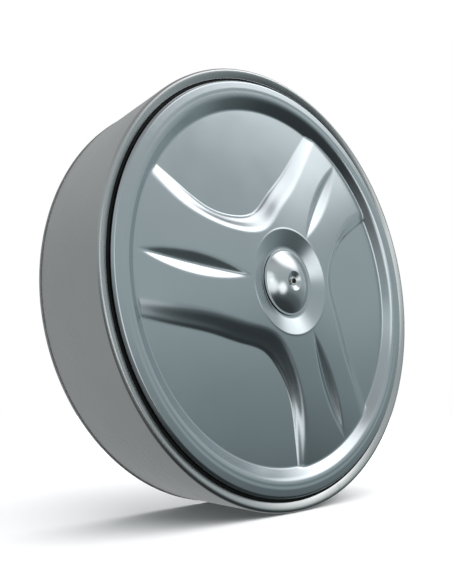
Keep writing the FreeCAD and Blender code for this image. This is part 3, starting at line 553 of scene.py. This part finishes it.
def dome_depth(radius, inset=0.0):
    """Depth of the cap's dome at a radius, or of its inner surface."""
    base = CAP_BACK - CAP_SHEET
    rise = base + CAP_RISE
    ball = (CAP_SHOULDER ** 2 + rise ** 2) / (2 * rise)
    return ball - CAP_RISE - sqrt((ball - inset) ** 2 - radius ** 2)


def dome_run(start, end, steps, inset=0.0):
    """Points along the dome from one radius to another."""
    return [(radius, dome_depth(radius, inset), 0.0) for radius in np.linspace(start, end, steps)]


def domed_cap(material):
    """The pressed cap: a dome with a dimple at its top, a rolled shoulder and a flat flange."""
    brim = dome_depth(DIMPLE_RADIUS)
    bottom = brim + DIMPLE_DEPTH
    flange = CAP_BACK - CAP_SHEET
    section = bent_path((
        (SCREW_HOLE, bottom, 0.0), (DIMPLE_FLOOR, bottom, DIMPLE_FLOOR_BEND),
        (DIMPLE_RADIUS, brim, DIMPLE_BRIM_BEND),
        *dome_run(DIMPLE_RADIUS + DOME_MARGIN, CAP_SHOULDER - DOME_MARGIN, DOME_STEPS),
        (CAP_SHOULDER, flange, CAP_SHOULDER_BEND), (CAP_RADIUS, flange, CAP_EDGE_BEND),
        (CAP_RADIUS, CAP_BACK, 0.0),
        *dome_run(CAP_SHOULDER - DOME_BACK_MARGIN, DIMPLE_RADIUS, DOME_BACK_STEPS, CAP_SHEET),
        (DIMPLE_FLOOR, bottom + CAP_SHEET, DIMPLE_BACK_BEND), (SCREW_HOLE, bottom + CAP_SHEET, 0.0),
    ))
    piece = turned("domed_cap", section, ROUND_CREASE, step=CAP_STEP)
    finished(piece, "centre_cap", "root", material)


# ---------------------------------------------------------------- band and rubber

def band_shell(side, body, material):
    """One part of the band, from its turned-in lip to its rear hem."""
    node = "band_" + side
    section = sheet_section((*LIP_CORNERS, *HEM_CORNERS), BAND_SHEET)
    piece = turned("band_shell_" + side, section, BAND_CREASE, *angles_of(node))
    finished(piece, node, body, material)


def seal_ring(material):
    """The rubber seal, with a rounded front edge and a flat foot on the flange."""
    inner = EDGE_RADIUS + SEAL_CLEARANCE
    section = rounded_loop((
        (inner, SEAL_FRONT, SEAL_BEND), (SEAL_RADIUS, SEAL_FRONT, SEAL_BEND),
        (SEAL_RADIUS, SEAL_FOOT, RUBBER_BEND), (FLANGE_RADIUS, SEAL_FOOT, SEAL_FOOT_BEND),
        (FLANGE_RADIUS, FLANGE_DEPTH, RUBBER_BEND), (inner, FLANGE_DEPTH, RUBBER_BEND),
    ))
    piece = turned("seal_ring", section, ROUND_CREASE)
    finished(piece, "face_seal", "root", material)


def trim_strip(side, body, material):
    """Rubber edging pushed over the band's rear hem."""
    node = "edge_trim_" + side
    outer = BAND_RADIUS + TRIM_THICKNESS
    inner = HEM_RADIUS - TRIM_THICKNESS
    back = BAND_DEPTH + 2 * TRIM_THICKNESS
    inner_start = TRIM_START - TRIM_REACH
    section = rounded_loop((
        (outer, TRIM_START, TRIM_END_BEND), (outer, back, TRIM_BEND), (inner, back, TRIM_BEND),
        (inner, inner_start, RUBBER_BEND), (HEM_RADIUS, inner_start, CONTACT_BEND),
        (HEM_RADIUS, BAND_DEPTH, CONTACT_BEND), (BAND_RADIUS, BAND_DEPTH, CONTACT_BEND),
        (BAND_RADIUS, TRIM_START, CONTACT_BEND),
    ))
    piece = turned("trim_strip_" + side, section, RUBBER_CREASE, *angles_of(node))
    finished(piece, node, body, material)


def grip_strip(side, body, material):
    """Rubber strip inside the band with ribs that grip the tread."""
    node = "tread_strip_" + side
    pitch = (SEAT_END - SEAT_START) / SEAT_RIBS
    outer = BAND_RADIUS - BAND_SHEET
    corners = [(outer, SEAT_END, SEAT_BACK_BEND), (outer, SEAT_START, SEAT_BACK_BEND)]
    for i in range(SEAT_RIBS):
        near = SEAT_START + pitch * i
        valley = SEAT_RADIUS + (SEAT_RIB_HEIGHT if i else SEAT_RIB_HEIGHT / 2)
        corners.append((valley, near, RUBBER_BEND))
        for share in SEAT_RIB_TOP:
            corners.append((SEAT_RADIUS, near + pitch * share, RUBBER_BEND))
    corners.append((SEAT_RADIUS + SEAT_RIB_HEIGHT, SEAT_END, RUBBER_BEND))
    section = rounded_loop(corners, 2)
    piece = turned("grip_strip_" + side, section, RUBBER_CREASE, *angles_of(node), step=GRIP_STEP)
    finished(piece, node, body, material)


# ---------------------------------------------------------------- hardware

def softened(node, body, material, edge=HARDWARE_EDGE):
    """A finished copy of a CAD node: flat faces merged again and their edges rounded."""
    work = bmesh.new()
    work.from_mesh(frame["nodes"][node].data)
    bmesh.ops.remove_doubles(work, verts=work.verts, dist=MERGE_METRES)
    bmesh.ops.dissolve_limit(
        work, angle_limit=radians(FLAT_ANGLE), verts=work.verts, edges=work.edges,
        use_dissolve_boundaries=False,
    )
    limit = radians(BEVELLED_ANGLE)
    edges = [e for e in work.edges if len(e.link_faces) == 2 and e.calc_face_angle(0) > limit]
    bmesh.ops.bevel(
        work, geom=edges, offset=edge * MM, offset_type="OFFSET", segments=2, profile=0.5,
        affect="EDGES", clamp_overlap=True,
    )
    mesh = bpy.data.meshes.new(node + "_finished")
    work.to_mesh(mesh)
    work.free()
    piece = linked(node + "_finished", mesh, HARDWARE_CREASE)
    finished(piece, node, body, material)
    return piece


def foam_pad(material):
    """The foam pads behind the windows: soft rounded copies of the plain pads."""
    piece = softened("sidewall_pads", "root", material, PAD_EDGE)


# ---------------------------------------------------------------- materials

def add(tree, kind, values=None, **settings):
    """A shader node with its settings made and its inputs set or linked."""
    node = tree.nodes.new("ShaderNode" + kind)
    for key, value in settings.items():
        setattr(node, key, value)
    for key, value in (values or {}).items():
        if isinstance(value, bpy.types.NodeSocket):
            tree.links.new(value, node.inputs[key])
        else:
            node.inputs[key].default_value = value
    return node


def new_material(name, values):
    """A material with one Principled shader, whose even values are set on its own sockets."""
    material = bpy.data.materials.new(name)
    material.use_nodes = True
    tree = material.node_tree
    tree.nodes.clear()
    output = add(tree, "OutputMaterial")
    shader = add(tree, "BsdfPrincipled", values)
    tree.links.new(shader.outputs["BSDF"], output.inputs["Surface"])
    return material, tree, shader


def stretched_noise(tree, scale, detail, stretch=(1.0, 1.0, 1.0)):
    """Noise on the piece's own metres, longer or finer along each axis."""
    place = add(tree, "TexCoord")
    mapped = add(tree, "Mapping", {"Vector": place.outputs["Object"], "Scale": stretch})
    noise = add(tree, "TexNoise", {"Vector": mapped.outputs[0], "Scale": scale, "Detail": detail})
    return noise.outputs["Fac"]


def spun_grain(tree):
    """Noise in fine rings about the wheel axis, as a lathe or a polishing mop leaves it."""
    place = add(tree, "TexCoord")
    flat = add(tree, "VectorMath", {0: place.outputs["Object"], 1: (1.0, 0.0, 1.0)}, operation="MULTIPLY")
    radius = add(tree, "VectorMath", {0: flat.outputs[0]}, operation="LENGTH")
    values = {"W": radius.outputs["Value"], "Scale": 900.0, "Detail": 4.0}
    return add(tree, "TexNoise", values, noise_dimensions="1D").outputs["Fac"]


def spread(tree, value, low, high):
    """The middle part of a noise, spread over a range."""
    values = {"Value": value, "From Min": 0.3, "From Max": 0.7, "To Min": low, "To Max": high}
    return add(tree, "MapRange", values).outputs["Result"]


def tinted(tree, factor, first, second):
    """A colour between two, by a factor from 0 to 1."""
    mix = add(tree, "Mix", {"Factor": factor, "A": (*first, 1.0), "B": (*second, 1.0)}, data_type="RGBA")
    return mix.outputs["Result"]


def bumps(tree, shader, layers):
    """Stacks bump layers, (height, strength, distance in metres), onto a shader."""
    normal = None
    for height, strength, distance in layers:
        values = {"Height": height, "Strength": strength, "Distance": distance}
        if normal is not None:
            values["Normal"] = normal
        normal = add(tree, "Bump", values).outputs["Normal"]
    tree.links.new(normal, shader.inputs["Normal"])


def steel(name, light, dark, rough, grain, wave=0.4):
    """Polished metal with a grain, hand-sized clouding and a slight unevenness of the sheet."""
    material, tree, shader = new_material(name, {"Metallic": 1.0, "Specular IOR Level": 0.5})
    clouds = stretched_noise(tree, 7.0, 4.0)
    grain_noise = grain(tree)
    colour = tinted(tree, spread(tree, clouds, 0.0, 1.0), light, dark)
    tree.links.new(colour, shader.inputs["Base Color"])
    smudge = spread(tree, stretched_noise(tree, 16.0, 5.0), -SMUDGE, SMUDGE)
    streak = spread(tree, grain_noise, rough - STREAK, rough + STREAK)
    total = add(tree, "Math", {0: smudge, 1: streak}, operation="ADD").outputs[0]
    tree.links.new(total, shader.inputs["Roughness"])
    bumps(tree, shader, (
        (stretched_noise(tree, 5.0, 1.0), wave, 0.004),
        (stretched_noise(tree, 40.0, 1.0), 0.02, 0.0006),
        (grain_noise, 0.012, 0.0001),
    ))
    return material


def sheet_grain(tree):
    """Level streaks, as the rolled sheet of the face shows."""
    return stretched_noise(tree, 30.0, 6.0, stretch=(0.6, 1.0, 40.0))


def band_grain(tree):
    """Streaks along the band's strip."""
    return stretched_noise(tree, 30.0, 2.0, stretch=(0.5, 10.0, 0.5))


def plain_grain(tree):
    """Fine grain of small parts, drawn out along the wheel axis."""
    return stretched_noise(tree, 400.0, 5.0, stretch=(1.0, 0.2, 1.0))


def rubber(name, dark, dusty, shine):
    """Rubber with a moulded grain and a little dust."""
    material, tree, shader = new_material(name, {"IOR": 1.5, "Specular IOR Level": shine})
    dust = spread(tree, stretched_noise(tree, 40.0, 6.0), 0.0, 1.0)
    tree.links.new(tinted(tree, dust, dark, dusty), shader.inputs["Base Color"])
    grain = stretched_noise(tree, 900.0, 3.0)
    tree.links.new(spread(tree, grain, 0.5, 0.75), shader.inputs["Roughness"])
    bumps(tree, shader, ((grain, 0.25, 0.0002),))
    return material


def foam(name):
    """Charcoal open-cell foam, with random tone and a painted shade in the pits of its cells."""
    material, tree, shader = new_material(name, {"IOR": 1.4})
    place = add(tree, "TexCoord").outputs["Object"]
    cells = add(tree, "TexVoronoi", {"Vector": place, "Scale": 620.0}).outputs["Distance"]
    soft = stretched_noise(tree, 60.0, 4.0)
    # Darker in the pits of the cells, where the bump sinks: a painted shade; the soft noise adds random
    # tone
    pore_shade_and_tone = add(tree, "Math", {0: cells, 1: soft}, operation="MULTIPLY").outputs[0]
    colour = tinted(tree, spread(tree, pore_shade_and_tone, 0.0, 1.0), (0.02, 0.02, 0.022), (0.055, 0.055, 0.06))
    tree.links.new(colour, shader.inputs["Base Color"])
    tree.links.new(spread(tree, soft, 0.85, 0.98), shader.inputs["Roughness"])
    bumps(tree, shader, ((cells, 0.9, 0.0012), (soft, 0.3, 0.002)))
    return material


def nylon(name):
    """Pale nylon with a faint flow mark."""
    material, tree, shader = new_material(name, {"IOR": 1.53})
    flow = stretched_noise(tree, 90.0, 4.0)
    colour = tinted(tree, flow, (0.62, 0.60, 0.54), (0.74, 0.72, 0.66))
    tree.links.new(colour, shader.inputs["Base Color"])
    tree.links.new(spread(tree, flow, 0.3, 0.48), shader.inputs["Roughness"])
    bumps(tree, shader, ((stretched_noise(tree, 1200.0, 2.0), 0.1, 0.0001),))
    return material


# ---------------------------------------------------------------- stage

def camera():
    """The camera of the main picture, low on the left and looking up."""
    data = bpy.data.cameras.new("camera")
    data.lens = CAMERA_LENS
    data.sensor_width = SENSOR_WIDTH
    data.clip_start = NEAR_CLIP
    data.clip_end = FAR_CLIP
    shot = bpy.data.objects.new("camera", data)
    shot.location = CAMERA_PLACE
    shot.rotation_euler = (radians(90 + CAMERA_PITCH), 0, radians(-CAMERA_HEADING))
    bpy.context.scene.collection.objects.link(shot)
    bpy.context.scene.camera = shot


def overhead_light():
    """A wide soft light from above that keeps the floor pale and its shadow weak."""
    data = bpy.data.lights.new("overhead", "SUN")
    data.energy = LIGHT_ENERGY
    data.angle = radians(LIGHT_SPREAD)
    light = bpy.data.objects.new("overhead", data)
    light.rotation_euler = (radians(LIGHT_TILT[0]), radians(LIGHT_TILT[1]), 0)
    light.visible_glossy = False
    bpy.context.scene.collection.objects.link(light)


def shades(tree, height, stops):
    """A colour for each height of a direction, blended between a few stops."""
    share = add(tree, "MapRange", {"Value": height, "From Min": -1.0, "From Max": 1.0}).outputs["Result"]
    fade = add(tree, "ValToRGB", {"Fac": share})
    fade.color_ramp.interpolation = "EASE"
    elements = fade.color_ramp.elements
    while len(elements) < len(stops):
        elements.new(0.5)
    for element, (place, colour) in zip(elements, stops):
        element.position = (place + 1) / 2
        element.color = (*colour, 1.0)
    return fade.outputs["Color"]


def studio():
    """A room that looks white, and that the metal sees as dark below, grey round it and lit above."""
    world = bpy.data.worlds.new("studio")
    bpy.context.scene.world = world
    world.use_nodes = True
    tree = world.node_tree
    tree.nodes.clear()
    direction = add(tree, "TexCoord").outputs["Generated"]
    parts = add(tree, "SeparateXYZ", {"Vector": direction})
    behind = add(
        tree, "MapRange", {"Value": parts.outputs["Y"], "From Min": BEHIND_FROM, "From Max": BEHIND_TO},
        interpolation_type="SMOOTHSTEP",
    ).outputs["Result"]
    mix = add(tree, "Mix", {
        "Factor": behind, "A": shades(tree, parts.outputs["Z"], FRONT_SHADES),
        "B": shades(tree, parts.outputs["Z"], REAR_SHADES),
    }, data_type="RGBA")
    colour = mix.outputs["Result"]
    for way, inner, outer, strength in ROOM_LAMPS:
        near = add(
            tree, "VectorMath", {0: direction, 1: Vector(way).normalized()}, operation="DOT_PRODUCT"
        ).outputs["Value"]
        lamp = add(tree, "MapRange", {
            "Value": near, "From Min": cos(radians(outer)), "From Max": cos(radians(inner)),
            "To Max": strength,
        }, interpolation_type="SMOOTHSTEP").outputs["Result"]
        colour = add(tree, "VectorMath", {0: colour, 1: lamp}, operation="ADD").outputs[0]
    seen = add(tree, "Background", {"Color": (1.0, 1.0, 1.0, 1.0), "Strength": 1.0})
    lit = add(tree, "Background", {"Color": colour, "Strength": 1.0})
    direct = add(tree, "LightPath").outputs["Is Camera Ray"]
    both = add(tree, "MixShader", {0: direct, 1: lit.outputs[0], 2: seen.outputs[0]})
    output = add(tree, "OutputWorld")
    tree.links.new(both.outputs[0], output.inputs["Surface"])


def floor():
    """A plain pale floor under the lowest point of the cover."""
    mesh = bpy.data.meshes.new("floor")
    half = FLOOR_SIZE / 2
    low = cad_low.z
    corners = [(-half, -half, low), (half, -half, low), (half, half, low), (-half, half, low)]
    mesh.from_pydata(corners, [], [(0, 1, 2, 3)])
    ground = bpy.data.objects.new("floor", mesh)
    material, tree, shader = new_material("pale_floor", {"Roughness": 0.9})
    speck = stretched_noise(tree, 3.0, 4.0)
    colour = tinted(tree, speck, (0.88, 0.88, 0.88), (0.92, 0.92, 0.92))
    tree.links.new(colour, shader.inputs["Base Color"])
    mesh.materials.append(material)
    ground.visible_glossy = False
    bpy.context.scene.collection.objects.link(ground)


# ---------------------------------------------------------------- all pieces

def slots_of_record():
    """The record's material slot of each CAD node, from its packed material's name."""
    return {name: node.data.materials[0].name for name, node in frame["nodes"].items()}


def main():
    """Makes the stage, the materials and a finished piece for each CAD node."""
    bpy.context.scene.view_settings.view_transform = "Standard"
    camera()
    studio()
    overhead_light()
    floor()
    by_slot = {
        "face_steel": steel("satin_face", (0.60, 0.645, 0.67), (0.57, 0.615, 0.64), 0.19, sheet_grain, 0.2),
        "band_steel": steel("satin_band", (0.60, 0.605, 0.605), (0.57, 0.58, 0.58), 0.26, band_grain),
        "cap_steel": steel("spun_cap", (0.70, 0.73, 0.745), (0.66, 0.69, 0.71), 0.17, spun_grain, 0.1),
        "plate_steel": steel("plate_steel", (0.55, 0.55, 0.54), (0.5, 0.5, 0.49), 0.33, plain_grain, 0.1),
        "pin_steel": steel("pin_steel", (0.66, 0.66, 0.66), (0.6, 0.6, 0.6), 0.2, plain_grain, 0.1),
        "screw_black": steel(
            "black_steel", (0.06, 0.06, 0.065), (0.04, 0.04, 0.045), 0.35, plain_grain, 0.1
        ),
        "lock_chrome": steel("chrome", (0.78, 0.79, 0.8), (0.74, 0.75, 0.76), 0.08, plain_grain, 0.05),
        "lock_brass": steel("brass", (0.80, 0.60, 0.30), (0.72, 0.53, 0.26), 0.22, plain_grain, 0.05),
        "seal_rubber": rubber("seal_black", (0.003, 0.003, 0.003), (0.006, 0.006, 0.006), 0.15),
        "trim_rubber": rubber("trim_black", (0.14, 0.145, 0.15), (0.19, 0.195, 0.20), 0.4),
        "pad_foam": foam("pad_foam"),
        "nylon": nylon("pale_nylon"),
    }
    face_pressing(by_slot["face_steel"])
    domed_cap(by_slot["cap_steel"])
    seal_ring(by_slot["seal_rubber"])
    for side, body in (("left", "root"), ("right", "band_right")):
        band_shell(side, body, by_slot["band_steel"])
        trim_strip(side, body, by_slot["trim_rubber"])
        grip_strip(side, body, by_slot["trim_rubber"])
    slots = slots_of_record()
    foam_pad(by_slot["pad_foam"])
    for name, node in frame["nodes"].items():
        if not node.hide_render:
            softened(name, node["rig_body"], by_slot[slots[name]])


main()
